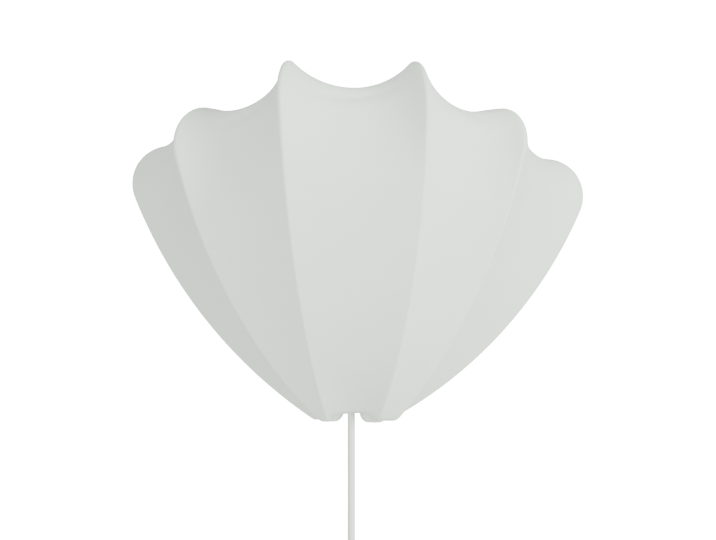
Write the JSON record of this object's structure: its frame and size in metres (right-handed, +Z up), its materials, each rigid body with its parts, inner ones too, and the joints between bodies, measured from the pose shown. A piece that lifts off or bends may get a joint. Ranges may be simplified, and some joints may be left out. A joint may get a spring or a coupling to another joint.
{
  "type": "plug-in wall light",
  "caption": "Plug-in wall light with a shell-shaped fabric shade stretched over bent ribs, a bulb on a bracket inside, and a lead with a rocker switch, coil and plug.",
  "frame": {"origin": "on the wall's face, midway between the two keyholes of the hanger strip", "axes": "+X to the viewer's right, +Y into the wall, +Z up"},
  "size_m": [0.4055, 0.1759, 0.6696],
  "materials": {
    "painted_frame": "white powder coat",
    "screw_steel": "zinc plated",
    "nipple_steel": "zinc plated",
    "holder_plastic": "smooth white",
    "holder_insulator": "moulded insulator",
    "brass_contact": "bare brass",
    "bulb_metal": "nickel plated",
    "bulb_body": "white",
    "bulb_frost": "frosted",
    "shade_fabric": "matte stretch jersey",
    "wall_rubber": "soft white",
    "lead_pvc": "white flexible sheath",
    "relief_plastic": "soft white",
    "switch_plastic": "smooth white",
    "rocker_plastic": "smooth white",
    "tie_strap": "white strap",
    "plug_plastic": "smooth white",
    "plug_metal": "nickel plated"
  },
  "bodies": {
    "lamp": {"outer_rib_left": "painted_frame", "mid_rib_left": "painted_frame", "centre_rib_left": "painted_frame", "centre_rib_right": "painted_frame", "mid_rib_right": "painted_frame", "outer_rib_right": "painted_frame", "spine_left": "painted_frame", "spine_right": "painted_frame", "foot_block_left": "painted_frame", "foot_block_right": "painted_frame", "head_block_left": "painted_frame", "head_block_right": "painted_frame", "hanger_strip": "painted_frame", "lamp_strip": "painted_frame", "cord_strip": "painted_frame", "lamp_bracket": "painted_frame", "bracket_screws": "screw_steel", "switch_screws": "screw_steel", "switch_pivot": "screw_steel", "nipple": "nipple_steel", "nipple_nut": "nipple_steel", "holder_cap": "holder_plastic", "holder_shell": "holder_plastic", "cord_grip": "holder_plastic", "holder_core": "holder_insulator", "terminal_screws": "brass_contact", "screw_shell": "brass_contact", "centre_contact": "brass_contact", "switch_terminals": "brass_contact", "bulb_cap": "bulb_metal", "bulb_tip": "bulb_metal", "bulb_collar": "bulb_body", "bulb_glass": "bulb_frost", "gore_outer_left": "shade_fabric", "gore_inner_left": "shade_fabric", "gore_centre": "shade_fabric", "gore_inner_right": "shade_fabric", "gore_outer_right": "shade_fabric", "hem_left": "shade_fabric", "hem_right": "shade_fabric", "wall_bumpers": "wall_rubber", "inner_lead": "lead_pvc", "cord_lead": "lead_pvc", "cord_drop": "lead_pvc", "cord_coil": "lead_pvc", "cord_tail": "lead_pvc", "outlet_bush": "relief_plastic", "outlet_relief": "relief_plastic", "switch_upper_relief": "relief_plastic", "switch_lower_relief": "relief_plastic", "plug_relief": "relief_plastic", "switch_front_shell": "switch_plastic", "switch_back_shell": "switch_plastic", "coil_tie": "tie_strap", "plug_body": "plug_plastic", "plug_pins": "plug_metal"},
    "rocker": {"switch_rocker": "rocker_plastic"}
  },
  "joints": [
    {"name": "rocker_tilt", "type": "hinge", "parent": "lamp", "child": "rocker", "pos_m": [-0.0015, -0.0181, -0.3433], "axis": [1, 0, 0], "range_deg": [0, 16]}
  ]
}
